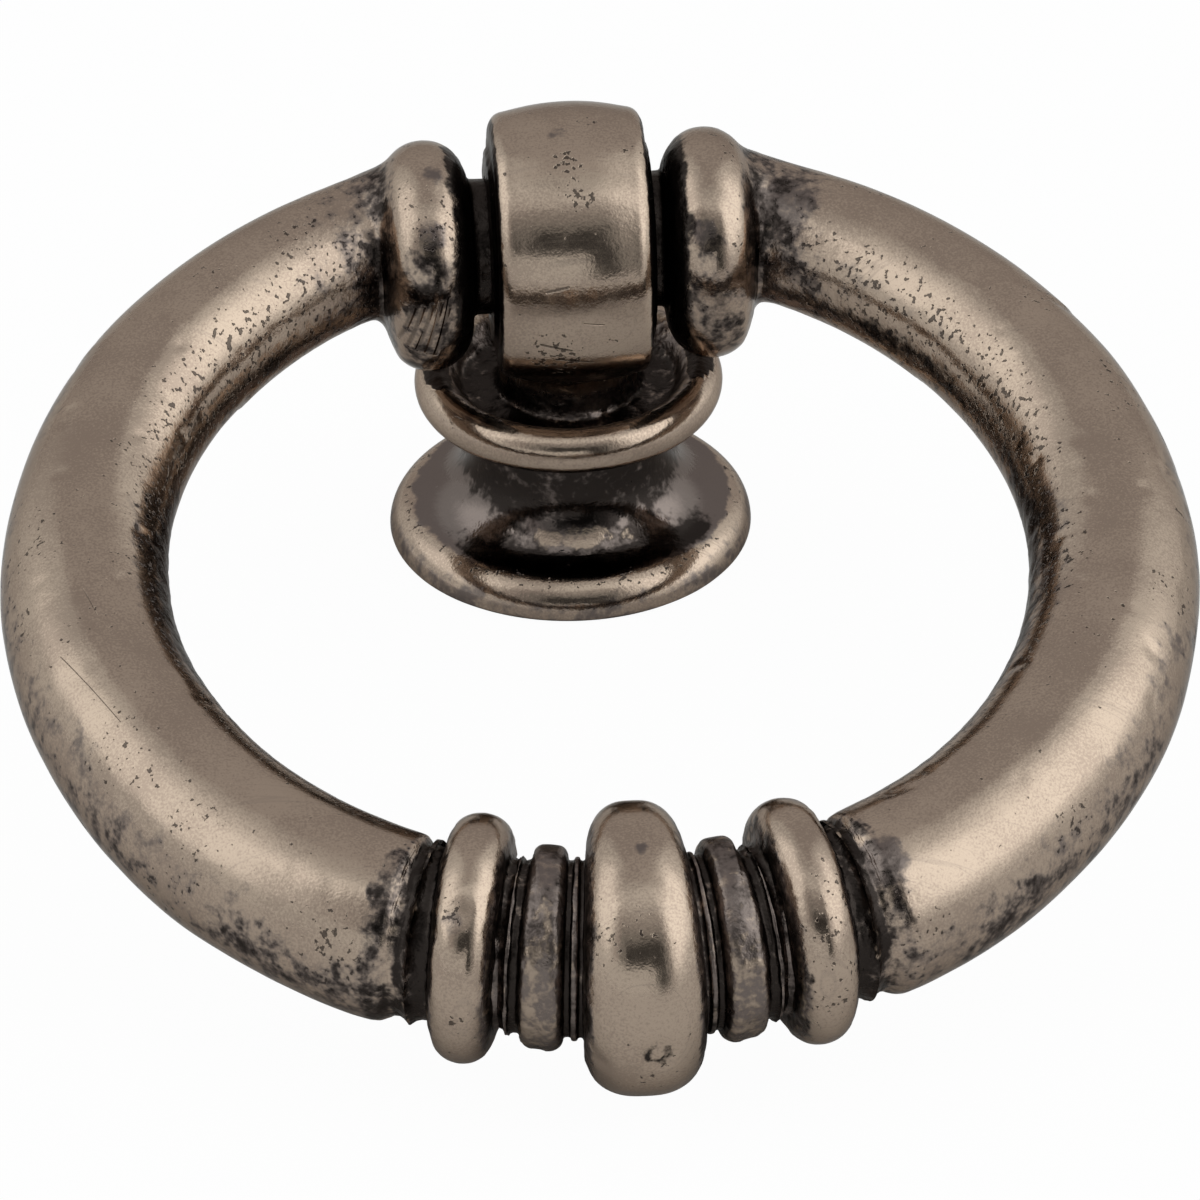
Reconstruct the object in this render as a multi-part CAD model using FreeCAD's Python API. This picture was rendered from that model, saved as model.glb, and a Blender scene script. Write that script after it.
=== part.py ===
import FreeCAD, Part
import math
import os

os.makedirs("parts", exist_ok=True)

# Sizes of the ring, in millimetres
ring_outer_width = 54.0
tube_radius_at_ears = 3.23
tube_radius_at_sides = 3.90
tube_radius_at_bottom = 4.39
ring_length_ratio = 1.03
apex_above_pivot = 2.33

# Sizes of the ears and of the trunnions that turn in the post
ear_radius = 5.42
ear_thickness = 4.1
ear_edge_round = 2.0
ear_drop = 0.42
ear_blend = 0.8
journal_radius = 3.15
journal_end_gap = 1.2
journal_chamfer = 0.4
journal_root = 1.0

# Sizes of the turned ornament at the bottom of the ring
ornament_rise = 0.56
centre_bead_radius = 6.5
ornament_bend = 28.0
centre_bead_width = 4.8
centre_bead_round = 2.0
side_bead_radius = 5.6
side_bead_width = 3.2
side_bead_round = 1.55
side_bead_spacing = 7.24
side_bead_turn = 12.0
side_bead_lift = 0.15
fine_bead_radius = 4.52
fine_bead_width = 1.5
fine_bead_round = 0.68
fine_bead_spacing = 4.02
inner_rib_radius = 4.27
inner_rib_width = 0.6
inner_rib_round = 0.26
inner_rib_spacing = 2.8
outer_rib_radius = 4.35
outer_rib_width = 0.55
outer_rib_round = 0.24
outer_rib_spacing = 5.25
groove_radius = 3.95
core_overlap = 1.5
tube_end_spacing = 9.7
tube_end_round = 0.9

# Sizes of the post
pivot_height = 15.6
knuckle_radius = 6.6
knuckle_width = 7.25
knuckle_crown = 0.35
knuckle_corner = 0.85
knuckle_side_shift = 0.15
boss_radius = 4.5
boss_height = 0.22
base_radius = 8.55
rim_lower_round = 0.35
rim_shoulder_radius = 8.2
rim_shoulder_height = 1.3
rim_top_radius = 7.1
rim_top_height = 1.95
neck_radius = 4.7
neck_height = 5.6
flare_sag = 0.84
collar_radius = 7.27
collar_round = 1.15
collar_height = 8.12
recess_outer_radius = 5.95
dish_height = 8.2
dish_inner_radius = 5.0
dish_sag = 0.15
recess_inner_radius = 4.85
recess_floor = 7.95
root_radius = 3.3

# Thread core of the fixing hole, for a machine screw of 4.2 mm
hole_radius = 1.73
hole_depth = 8.0

# Fits
journal_clearance = 0.08
ear_side_clearance = 0.6

# Values that follow from the sizes above
centreline_half_width = ring_outer_width / 2.0 - tube_radius_at_sides
centreline_half_length = centreline_half_width * ring_length_ratio
ring_centre_drop = centreline_half_length - apex_above_pivot
ring_reach = ring_centre_drop + centreline_half_length - ornament_rise
rest_tilt = math.degrees(math.asin((pivot_height - centre_bead_radius) / ring_reach))
ear_inner = knuckle_width / 2.0 + boss_height + ear_side_clearance
ear_outer = ear_inner + ear_thickness
bore_radius = journal_radius + journal_clearance


def vec(x, y, z=0.0):
    return FreeCAD.Vector(x, y, z)


def line(a, b):
    return Part.makeLine(a, b)


def arc(a, middle, b):
    return Part.Arc(a, middle, b).toShape()


def quarter(centre, radius, start, end):
    """Arc about a centre between two angles given in degrees."""
    angles = [math.radians(a) for a in (start, (start + end) / 2.0, end)]
    points = [vec(centre.x + radius * math.cos(a), centre.y + radius * math.sin(a)) for a in angles]
    return arc(points[0], points[1], points[2])


def bowed(a, b, sag):
    """Arc between two points that bulges to the left of the way from a to b by its sag."""
    along = b - a
    along.normalize()
    middle = (a + b) * 0.5 + vec(-along.y, along.x) * sag
    return arc(a, middle, b)


def turned(edges, axis):
    """Solid of revolution of a closed outline in the XY plane."""
    face = Part.Face(Part.Wire(Part.__sortEdges__(edges)))
    return face.revolve(vec(0, 0), axis, 360)


def bead(radius, width, edge_round):
    """Round bead turned about X and centred on the origin, with rounded shoulders."""
    half = width / 2.0
    shoulder = min(edge_round, half - 0.02)
    left = vec(-half + shoulder, radius - shoulder)
    right = vec(half - shoulder, radius - shoulder)
    edges = [
        line(vec(-half, 0), vec(-half, radius - shoulder)),
        quarter(left, shoulder, 180, 90),
        line(vec(-half + shoulder, radius), vec(half - shoulder, radius)),
        quarter(right, shoulder, 90, 0),
        line(vec(half, radius - shoulder), vec(half, 0)),
        line(vec(half, 0), vec(-half, 0)),
    ]
    return turned(edges, vec(1, 0))


def centreline(angle):
    """Point, direction and tube radius at an angle from the top of the ring, in the ring's own plane."""
    c = math.cos(angle)
    s = math.sin(angle)
    point = vec(centreline_half_width * s, -ring_centre_drop + centreline_half_length * c)
    direction = math.degrees(math.atan2(-centreline_half_length * s, centreline_half_width * c))
    even = (tube_radius_at_ears + tube_radius_at_bottom) / 2.0
    swing = (tube_radius_at_bottom - tube_radius_at_ears) / 2.0
    bulge = (tube_radius_at_sides - even) * (1 - c * c)
    return point, direction, even - swing * c + bulge


def cross_section(radius):
    return Part.Wire(Part.Circle(vec(0, 0), vec(1, 0), radius).toShape())


def tube_section(angle):
    """Cross-section of the tube, square to the centreline."""
    point, direction, radius = centreline(angle)
    circle = cross_section(radius)
    circle.rotate(vec(0, 0), vec(0, 0, 1), direction)
    circle.translate(point)
    return circle


def on_ornament(shape, spacing, lean=None, lift=0.0):
    """Moves a shape turned about X onto the flatter arc of the ornament, at a distance from its middle.

    It leans as the arc does there, or by an angle of its own in degrees.
    """
    turn = spacing / ornament_bend
    bottom = ornament_rise - ring_centre_drop - centreline_half_length
    shape.rotate(vec(0, 0), vec(0, 0, 1), math.degrees(turn) if lean is None else lean)
    rise = ornament_bend * (1 - math.cos(turn)) + lift
    shape.translate(vec(ornament_bend * math.sin(turn), bottom + rise))
    return shape


def half_tube():
    """Tapered tube from the ear to the ornament, with its lower shoulder rounded."""
    start = math.asin((ear_inner + ear_thickness / 2.0) / centreline_half_width)
    end = math.pi - tube_end_spacing / centreline_half_width
    stations = [start + (end - start) * i / 10.0 for i in range(11)]
    tube = Part.makeLoft([tube_section(a) for a in stations], True, False)
    point = centreline(end)[0]
    rims = [e for e in tube.Edges if e.Closed and (e.CenterOfMass - point).Length < 0.5]
    return tube.makeFillet(tube_end_round, rims)


def ornament():
    """Slim core with the centre bead, side beads, fine beads and ribs standing on it."""
    reach = tube_end_spacing + core_overlap
    stations = [reach * i / 4.0 for i in range(-4, 5)]
    core = Part.makeLoft([on_ornament(cross_section(groove_radius), s) for s in stations], True, False)
    pieces = [core, on_ornament(bead(centre_bead_radius, centre_bead_width, centre_bead_round), 0)]
    for side in (1, -1):
        piece = bead(side_bead_radius, side_bead_width, side_bead_round)
        pieces.append(on_ornament(piece, side * side_bead_spacing, side * side_bead_turn, side_bead_lift))
    turned_rings = [
        (fine_bead_spacing, fine_bead_radius, fine_bead_width, fine_bead_round),
        (inner_rib_spacing, inner_rib_radius, inner_rib_width, inner_rib_round),
        (outer_rib_spacing, outer_rib_radius, outer_rib_width, outer_rib_round),
    ]
    for spacing, radius, width, edge_round in turned_rings:
        for side in (1, -1):
            pieces.append(on_ornament(bead(radius, width, edge_round), side * spacing))
    return pieces


def ear():
    """Ear disc at the end of the tube, fused with the trunnion that enters the post."""
    disc = bead(ear_radius, ear_thickness, ear_edge_round)
    disc.translate(vec(ear_inner + ear_thickness / 2.0, -ear_drop))
    inner_end = journal_end_gap / 2.0
    tip = journal_radius - journal_chamfer
    outer_end = ear_inner + journal_root
    edges = [
        line(vec(inner_end, 0), vec(inner_end, tip)),
        line(vec(inner_end, tip), vec(inner_end + journal_chamfer, journal_radius)),
        line(vec(inner_end + journal_chamfer, journal_radius), vec(outer_end, journal_radius)),
        line(vec(outer_end, journal_radius), vec(outer_end, 0)),
        line(vec(outer_end, 0), vec(inner_end, 0)),
    ]
    return disc.fuse([turned(edges, vec(1, 0))])


def arm():
    """Tube, ear and trunnion of one side, with a soft blend where the tube runs into the ear."""
    joined = half_tube().fuse([ear()])
    seam = []
    for edge in joined.Edges:
        surfaces = {type(face.Surface).__name__ for face in joined.ancestorsOfType(edge, Part.Face)}
        if edge.BoundBox.XMax < ear_outer + 0.1 and "BSplineSurface" in surfaces and len(surfaces) > 1:
            seam.append(edge)
    return joined.makeFillet(ear_blend, seam)


def make_ring():
    """The ring in its rest pose, with the bottom bead standing on the mounting plane."""
    right = arm()
    left = right.mirror(vec(0, 0), vec(1, 0))
    beads = ornament()
    middle = beads[0].fuse(beads[1:])
    ring = middle.fuse([right, left]).removeSplitter()
    ring.rotate(vec(0, 0), vec(1, 0), rest_tilt)
    ring.translate(vec(0, 0, pivot_height))
    return ring


def post_body():
    """Base, flare, neck and dished collar as one turned shape about the post axis."""
    low = rim_lower_round
    under = collar_height - collar_round
    over = collar_height + collar_round
    bead_centre = collar_radius - collar_round
    root_top = pivot_height - 0.6 * knuckle_radius
    edges = [
        line(vec(0, 0), vec(base_radius - low, 0)),
        quarter(vec(base_radius - low, low), low, -90, 0),
        arc(vec(base_radius, low), vec(rim_shoulder_radius, rim_shoulder_height), vec(rim_top_radius, rim_top_height)),
        bowed(vec(rim_top_radius, rim_top_height), vec(neck_radius, neck_height), flare_sag),
        line(vec(neck_radius, neck_height), vec(neck_radius, under)),
        line(vec(neck_radius, under), vec(bead_centre, under)),
        arc(vec(bead_centre, under), vec(collar_radius, collar_height), vec(bead_centre, over)),
        line(vec(bead_centre, over), vec(recess_outer_radius, over)),
        bowed(vec(recess_outer_radius, over), vec(dish_inner_radius, dish_height), dish_sag),
        line(vec(dish_inner_radius, dish_height), vec(recess_inner_radius, recess_floor)),
        line(vec(recess_inner_radius, recess_floor), vec(root_radius, recess_floor)),
        line(vec(root_radius, recess_floor), vec(root_radius, root_top)),
        line(vec(root_radius, root_top), vec(0, root_top)),
        line(vec(0, root_top), vec(0, 0)),
    ]
    flat = turned(edges, vec(0, 1))
    flat.rotate(vec(0, 0), vec(1, 0), 90)
    return flat


def knuckle():
    """Crowned barrel across the post with a low round boss on each side."""
    half = knuckle_width / 2.0
    edge = knuckle_radius - knuckle_crown
    corner = knuckle_corner
    full = half + boss_height
    edges = [
        line(vec(-full, 0), vec(-full, boss_radius)),
        line(vec(-full, boss_radius), vec(-half, boss_radius + boss_height)),
        line(vec(-half, boss_radius + boss_height), vec(-half, edge - corner)),
        quarter(vec(-half + corner, edge - corner), corner, 180, 90),
        arc(vec(-half + corner, edge), vec(0, knuckle_radius), vec(half - corner, edge)),
        quarter(vec(half - corner, edge - corner), corner, 90, 0),
        line(vec(half, edge - corner), vec(half, boss_radius + boss_height)),
        line(vec(half, boss_radius + boss_height), vec(full, boss_radius)),
        line(vec(full, boss_radius), vec(full, 0)),
        line(vec(full, 0), vec(-full, 0)),
    ]
    barrel = turned(edges, vec(1, 0))
    barrel.translate(vec(knuckle_side_shift, 0, pivot_height))
    return barrel


def make_post():
    """The post with its cross bore and its blind fixing hole."""
    post = post_body().fuse([knuckle()])
    width = 2.0 * knuckle_width
    bore = Part.makeCylinder(bore_radius, width, vec(-width / 2.0, 0, pivot_height), vec(1, 0, 0))
    hole = Part.makeCylinder(hole_radius, hole_depth)
    return post.cut([bore, hole]).removeSplitter()


def write(shape, name):
    solid = shape.Solids[0] if len(shape.Solids) == 1 else shape
    print(name, "valid", solid.isValid(), "solids", len(shape.Solids), "faces", len(shape.Faces),
          "volume", round(shape.Volume, 1), "box", shape.BoundBox)
    solid.exportStep("parts/%s.step" % name)


post = make_post()
ring = make_ring()
print("rest tilt", round(rest_tilt, 3), "overlap", round(post.common(ring).Volume, 4),
      "gap", round(post.distToShape(ring)[0], 3))
write(post, "post")
write(ring, "ring")
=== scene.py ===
import logging
import math
from dataclasses import dataclass
from enum import Enum

import bmesh
import bpy
import numpy as np
from mathutils import Matrix, Vector, kdtree, noise


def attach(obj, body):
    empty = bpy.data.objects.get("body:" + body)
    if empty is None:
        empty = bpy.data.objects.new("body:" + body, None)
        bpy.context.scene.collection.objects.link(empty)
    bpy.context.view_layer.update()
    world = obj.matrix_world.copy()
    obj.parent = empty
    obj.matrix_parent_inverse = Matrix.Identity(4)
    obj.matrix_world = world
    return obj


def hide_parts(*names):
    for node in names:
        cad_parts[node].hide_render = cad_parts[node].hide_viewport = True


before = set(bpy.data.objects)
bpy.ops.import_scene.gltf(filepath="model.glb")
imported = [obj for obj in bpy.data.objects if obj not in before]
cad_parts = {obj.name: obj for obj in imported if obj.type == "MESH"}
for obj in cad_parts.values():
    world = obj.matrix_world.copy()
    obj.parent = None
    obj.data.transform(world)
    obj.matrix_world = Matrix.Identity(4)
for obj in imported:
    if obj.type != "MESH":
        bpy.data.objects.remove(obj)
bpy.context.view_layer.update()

log = logging.getLogger("ring_pull")
MM = 0.001
PICTURE_SIDE = 1200
SAME = 1e-9
SMOOTH_ANGLE = 40.0
# film and crust hold stains and patina, and also painted shade and painted dark reflection
SHADER_FIELDS = ("film_and_shade", "crust_and_shade", "pits", "grain", "glint")
Point = tuple[float, float]
Triple = tuple[float, float, float]
Piece = bpy.types.Object
Socket = bpy.types.NodeSocket


@dataclass(frozen=True)
class Loop:
    """One round loop of edges, in millimetres: its centre, its radius and its turn out of square."""

    x: float
    y: float
    radius: float
    turn: float = 0.0


def deselect_all() -> None:
    """Leaves edit mode with nothing selected and nothing active."""
    if bpy.context.object and bpy.context.object.mode != "OBJECT":
        bpy.ops.object.mode_set(mode="OBJECT")
    bpy.ops.object.select_all(action="DESELECT")
    bpy.context.view_layer.objects.active = None


def make_active(piece: Piece) -> None:
    """Selects one piece alone."""
    deselect_all()
    piece.select_set(True)
    bpy.context.view_layer.objects.active = piece


def apply_modifier(piece: Piece, kind: str, **settings: object) -> None:
    """Adds a modifier with these settings and applies it.

    Args:
        piece: The mesh that takes the modifier.
        kind: Blender's name for the kind of modifier.
        settings: Properties of the modifier and their values.
    """
    make_active(piece)
    modifier = piece.modifiers.new(kind.title(), kind)
    for name, value in settings.items():
        setattr(modifier, name, value)
    bpy.ops.object.modifier_apply(modifier=modifier.name)


def close_pole(piece: Piece) -> None:
    """Closes the selected loop with two shrunken loops and a merged pole, and selects the open loop again."""
    mesh = bmesh.from_edit_mesh(piece.data)
    chosen = [v.index for v in mesh.verts if v.select]
    for share in (0.6, 0.3):
        bpy.ops.mesh.extrude_region_move()
        mesh = bmesh.from_edit_mesh(piece.data)
        ends = [v.co for v in mesh.verts if v.select]
        middle = sum(ends, Vector()) / len(ends)
        bpy.ops.transform.resize(value=(share, share, share), center_override=middle)
    bpy.ops.mesh.extrude_region_move()
    bpy.ops.mesh.merge(type="CENTER")
    bpy.ops.mesh.select_all(action="DESELECT")
    mesh = bmesh.from_edit_mesh(piece.data)
    mesh.verts.ensure_lookup_table()
    for index in chosen:
        mesh.verts[index].select = True
    mesh.select_flush(True)
    bmesh.update_edit_mesh(piece.data)


def pull_loops(name: str, loops: list[Loop], sides: int, cap_start: bool, cap_end: bool) -> Piece:
    """Models a round body by extruding a circle from loop to loop in the XY plane, about the X axis.

    Args:
        name: Name of the new piece.
        loops: The loops in order along the body.
        sides: Number of vertices round each loop.
        cap_start: Whether the first loop is closed to a pole.
        cap_end: Whether the last loop is closed to a pole.

    Returns:
        The piece, with its place in its mesh, in metres.
    """
    deselect_all()
    first = loops[0]
    bpy.ops.mesh.primitive_circle_add(
        vertices=sides,
        radius=first.radius * MM,
        fill_type="NOTHING",
        location=(first.x * MM, first.y * MM, 0),
        rotation=(0, math.pi / 2, 0),
    )
    piece = bpy.context.object
    piece.name = name
    piece.data.name = name
    bpy.ops.object.transform_apply(location=True, rotation=True, scale=True)
    bpy.ops.object.mode_set(mode="EDIT")
    bpy.ops.mesh.select_all(action="SELECT")
    centre = (first.x * MM, first.y * MM, 0.0)
    if first.turn:
        bpy.ops.transform.rotate(value=-first.turn, orient_axis="Z", center_override=centre)
    if cap_start:
        close_pole(piece)
    before = first
    for loop in loops[1:]:
        step = ((loop.x - before.x) * MM, (loop.y - before.y) * MM, 0.0)
        centre = (loop.x * MM, loop.y * MM, 0.0)
        bpy.ops.mesh.extrude_region_move(TRANSFORM_OT_translate={"value": step})
        if abs(loop.turn - before.turn) > SAME:
            turn = before.turn - loop.turn
            bpy.ops.transform.rotate(value=turn, orient_axis="Z", center_override=centre)
        if abs(loop.radius - before.radius) > SAME:
            share = loop.radius / before.radius
            bpy.ops.transform.resize(value=(share, share, share), center_override=centre)
        before = loop
    if cap_end:
        close_pole(piece)
    bpy.ops.object.mode_set(mode="OBJECT")
    return piece


def face_outwards(piece: Piece) -> None:
    """Merges doubled vertices and turns all faces outwards."""
    make_active(piece)
    bpy.ops.object.mode_set(mode="EDIT")
    bpy.ops.mesh.select_all(action="SELECT")
    bpy.ops.mesh.remove_doubles(threshold=0.000001)
    bpy.ops.mesh.normals_make_consistent(inside=False)
    bpy.ops.object.mode_set(mode="OBJECT")


def vertex_places(piece: Piece) -> np.ndarray:
    """All vertices of a piece, in millimetres, one row each."""
    places = np.zeros(len(piece.data.vertices) * 3)
    piece.data.vertices.foreach_get("co", places)
    return places.reshape(-1, 3) / MM


def vertex_normals(piece: Piece) -> np.ndarray:
    """The normals at all vertices of a piece, one row each."""
    normals = np.zeros(len(piece.data.vertices) * 3)
    piece.data.vertices.foreach_get("normal", normals)
    return normals.reshape(-1, 3)


def move_vertices(piece: Piece, places: np.ndarray) -> None:
    """Puts all vertices of a piece at new places, given in millimetres."""
    piece.data.vertices.foreach_set("co", (places * MM).astype(np.float32).ravel())
    piece.data.update()


def store(piece: Piece, name: str, values: np.ndarray) -> None:
    """Keeps one value per vertex on the mesh, for the metal's shader to read."""
    attribute = piece.data.attributes.get(name) or piece.data.attributes.new(name, "FLOAT", "POINT")
    attribute.data.foreach_set("value", np.clip(values, 0.0, 1.0).astype(np.float32))


def smooth_step(low: float, high: float, values: np.ndarray) -> np.ndarray:
    """Soft step from 0 at low to 1 at high; low may be the larger one."""
    t = np.clip((values - low) / (high - low), 0.0, 1.0)
    return t * t * (3.0 - 2.0 * t)


def wobble(places: np.ndarray, size: float, seed: float) -> np.ndarray:
    """Smooth noise from -1 to 1 at each place.

    Args:
        places: Points in millimetres.
        size: Size of the noise's lumps in millimetres.
        seed: Shift that gives each use its own pattern.
    """
    return np.array([noise.noise(Vector(p) / size + Vector((seed, seed, seed))) for p in places.tolist()])


def lumps(places: np.ndarray, size: float, seed: float) -> np.ndarray:
    """Smooth noise like that of wobble, but from 0 to 1."""
    return 0.5 + 0.5 * wobble(places, size, seed)


class MarkKind(Enum):
    """What a mark has done to the metal."""

    DENT = "a shallow hollow"
    RING_DENT = "a hollow with a raised middle"
    STAIN = "a smooth dark film"
    CRUST = "black patina in a rough place"
    PITS = "a cluster of fine pits"


@dataclass(frozen=True)
class Mark:
    """One mark that use or casting has left, in millimetres."""

    kind: MarkKind
    place: Triple
    reach: float
    amount: float

    def field(self, places: np.ndarray) -> np.ndarray:
        """How strong the mark is at each place, from 0 at its reach to its amount at its middle."""
        away = np.linalg.norm(places - np.array(self.place), axis=1) / self.reach
        if self.kind is MarkKind.RING_DENT:
            return self.amount * (smooth_step(1.0, 0.65, away) - 0.8 * smooth_step(0.5, 0.15, away))
        return self.amount * smooth_step(1.0, 0.35, away)


@dataclass
class Surface:
    """What the metal's shader and the wear need to know at each vertex.

    All are from 0 to 1, but the hollow is a depth in millimetres.
    """

    film_and_shade: np.ndarray
    crust_and_shade: np.ndarray
    pits: np.ndarray
    grain: np.ndarray
    glint: np.ndarray
    hollow: np.ndarray

    @classmethod
    def clean(cls, count: int) -> "Surface":
        """A bright and even surface."""
        return cls(*(np.zeros(count) for _ in range(6)))

    def add_marks(self, places: np.ndarray, marks: tuple[Mark, ...]) -> None:
        """Adds marks to the fields that their kind changes.

        Args:
            places: The vertices, in millimetres.
            marks: The marks, in the same frame.
        """
        targets = {
            MarkKind.DENT: self.hollow,
            MarkKind.RING_DENT: self.hollow,
            MarkKind.STAIN: self.film_and_shade,
            MarkKind.CRUST: self.crust_and_shade,
            MarkKind.PITS: self.pits,
        }
        for mark in marks:
            target = targets[mark.kind]
            field = mark.field(places)
            if target is self.hollow:
                target += field
                np.maximum(self.crust_and_shade, 5.5 * field - 0.15, out=self.crust_and_shade)
            else:
                np.maximum(target, field, out=target)

    def keep_on(self, piece: Piece) -> None:
        """Stores the fields that the shader reads on the mesh."""
        for name in SHADER_FIELDS:
            store(piece, name, getattr(self, name))


def arc_points(x: float, y: float, radius: float, start: float, end: float, count: int) -> list[Point]:
    """Points on an arc from a start to an end angle in degrees, both included."""
    angles = [math.radians(start + (end - start) * i / count) for i in range(count + 1)]
    return [(x + radius * math.cos(a), y + radius * math.sin(a)) for a in angles]


@dataclass(frozen=True)
class Bead:
    """One turned bead or rib of the ornament, in millimetres."""

    spacing: float
    radius: float
    width: float
    edge_round: float
    steps: int
    lean: float | None = None
    lift: float = 0.0

    def profile(self, floor: float) -> list[Point]:
        """Distance along the ring and radius of each loop, from the bead's near foot to its far foot."""
        near = self.spacing - self.width / 2.0
        far = self.spacing + self.width / 2.0
        rim = self.radius - self.edge_round
        middle = floor + 0.5 * (rim - floor)
        points = [(near, floor), (near, middle)]
        points += arc_points(near + self.edge_round, rim, self.edge_round, 180, 90, self.steps)
        points += arc_points(far - self.edge_round, rim, self.edge_round, 90, 0, self.steps)
        points += [(far, middle), (far, floor)]
        return points


@dataclass
class Ring:
    """The cast ring: tapered tube, turned ornament, ears and the trunnions that turn in the post."""

    outer_width: float = 54.0
    tube_radius_at_ears: float = 3.23
    tube_radius_at_sides: float = 3.90
    tube_radius_at_bottom: float = 4.39
    length_ratio: float = 1.03
    apex_above_pivot: float = 2.33
    ornament_rise: float = 0.56
    ornament_bend: float = 28.0
    groove_radius: float = 3.95
    groove_rib: float = 0.5
    tube_end_blend: float = 2.0
    tube_end_spacing: float = 9.55
    tube_end_round: float = 1.25
    tube_last_x: float = 10.6
    ear_inner: float = 4.445
    ear_thickness: float = 4.1
    ear_radius: float = 5.42
    ear_edge_round: float = 2.0
    ear_drop: float = 0.42
    journal_radius: float = 3.15
    journal_end_gap: float = 1.2
    journal_chamfer: float = 0.4
    pivot_height: float = 15.6
    sides: int = 48
    tube_step: float = 0.55
    ears_above: float = -8.0
    deepest_wear: float = 0.3
    beads: tuple[Bead, ...] = (
        Bead(2.70, 4.12, 0.44, 0.16, 2),
        Bead(4.02, 4.62, 1.95, 0.66, 6),
        Bead(5.35, 4.14, 0.44, 0.17, 2),
        Bead(7.24, 5.6, 3.2, 1.55, 7, math.radians(12.0), 0.15),
    )
    centre_bead: Bead = Bead(0.0, 6.5, 4.8, 2.0, 8)
    marks: tuple[Mark, ...] = (
        Mark(MarkKind.STAIN, (0.11, -44.77, 6.5), 0.5, 1.0),
        Mark(MarkKind.RING_DENT, (0.42, -51.3, 0.1), 0.95, 0.14),
        Mark(MarkKind.DENT, (-2.0, -50.33, -0.79), 0.8, 0.08),
        Mark(MarkKind.CRUST, (-2.0, -50.33, -0.79), 0.9, 0.6),
        Mark(MarkKind.DENT, (-8.03, -46.45, 4.74), 0.9, 0.05),
        Mark(MarkKind.PITS, (-8.03, -46.45, 4.74), 1.3, 0.65),
        Mark(MarkKind.STAIN, (-8.2, -46.8, 4.4), 0.9, 0.45),
        Mark(MarkKind.PITS, (-8.22, -49.09, 0.43), 0.7, 0.9),
        Mark(MarkKind.PITS, (8.32, -49.07, 0.44), 0.7, 0.9),
        Mark(MarkKind.CRUST, (6.75, -48.48, 1.62), 1.0, 0.5),
        Mark(MarkKind.STAIN, (10.4, -43.9, 3.9), 2.0, 0.85),
        Mark(MarkKind.CRUST, (11.49, -46.24, 2.24), 1.3, 0.5),
        Mark(MarkKind.STAIN, (-10.5, -44.9, 3.6), 1.6, 0.6),
        Mark(MarkKind.CRUST, (-10.61, -46.0, 2.36), 1.4, 0.5),
        Mark(MarkKind.STAIN, (10.04, -1.2, 3.14), 2.3, 0.8),
        Mark(MarkKind.CRUST, (8.45, -4.05, 2.46), 1.1, 0.7),
        Mark(MarkKind.CRUST, (-8.4, -3.01, 3.81), 0.9, 0.5),
        Mark(MarkKind.CRUST, (-9.3, -2.4, 2.35), 1.8, 0.48),
        Mark(MarkKind.STAIN, (-9.6, -0.4, 3.2), 1.8, 0.6),
        Mark(MarkKind.STAIN, (-6.2, -0.6, 5.39), 0.9, 0.75),
        Mark(MarkKind.STAIN, (-6.4, -3.67, 4.32), 1.2, 0.7),
        Mark(MarkKind.PITS, (-6.4, -3.67, 4.32), 1.4, 0.6),
        Mark(MarkKind.STAIN, (6.03, -3.92, 4.07), 1.1, 0.7),
        Mark(MarkKind.DENT, (6.03, -3.92, 4.07), 1.0, 0.04),
        Mark(MarkKind.PITS, (18.12, -14.17, 0.43), 4.5, 0.75),
        Mark(MarkKind.PITS, (13.56, -6.29, 1.4), 3.5, 0.65),
        Mark(MarkKind.PITS, (19.93, -24.98, 2.76), 3.5, 0.55),
        Mark(MarkKind.PITS, (-22.42, -34.33, 3.26), 3.0, 0.45),
        Mark(MarkKind.PITS, (-13.43, -45.74, 1.33), 3.5, 0.6),
        Mark(MarkKind.PITS, (-19.15, -39.35, 3.2), 2.5, 0.5),
        Mark(MarkKind.PITS, (-22.99, -27.0, 3.99), 2.5, 0.4),
        Mark(MarkKind.PITS, (-12.4, -2.44, 3.24), 3.0, 0.5),
    )

    def half_width(self) -> float:
        """Half the width of the centreline."""
        return self.outer_width / 2.0 - self.tube_radius_at_sides

    def half_length(self) -> float:
        """Half the length of the centreline, from top to bottom."""
        return self.half_width() * self.length_ratio

    def bottom(self) -> float:
        """Height of the ornament's middle against the pivot, in the ring's own plane."""
        return self.ornament_rise - (self.half_length() - self.apex_above_pivot) - self.half_length()

    def rest_tilt(self) -> float:
        """How far the ring's plane slopes down when the centre bead stands on the mounting plane."""
        return math.asin((self.pivot_height - self.centre_bead.radius) / -self.bottom())

    def tube_radius(self, angle: float) -> float:
        """Radius of the tube at an angle from the top of the ring."""
        even = (self.tube_radius_at_ears + self.tube_radius_at_bottom) / 2.0
        swing = (self.tube_radius_at_bottom - self.tube_radius_at_ears) / 2.0
        c = math.cos(angle)
        return even - swing * c + (self.tube_radius_at_sides - even) * (1 - c * c)

    def on_path(self, distance: float) -> Triple:
        """Centre and turn of a loop at a distance along the ring from its bottom middle."""
        a = distance / self.ornament_bend
        flat = (self.ornament_bend * math.sin(a), self.bottom() + self.ornament_bend * (1 - math.cos(a)), a)
        angle = math.pi - distance / self.half_width()
        drop = self.half_length() - self.apex_above_pivot
        turn = math.atan2(self.half_length() * math.sin(angle), -self.half_width() * math.cos(angle))
        oval = (self.half_width() * math.sin(angle), -drop + self.half_length() * math.cos(angle), turn)
        start = self.tube_end_spacing - 0.3
        share = min(max((distance - start) / self.tube_end_blend, 0.0), 1.0)
        share = share * share * (3.0 - 2.0 * share)
        return tuple(f * (1.0 - share) + o * share for f, o in zip(flat, oval))

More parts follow.
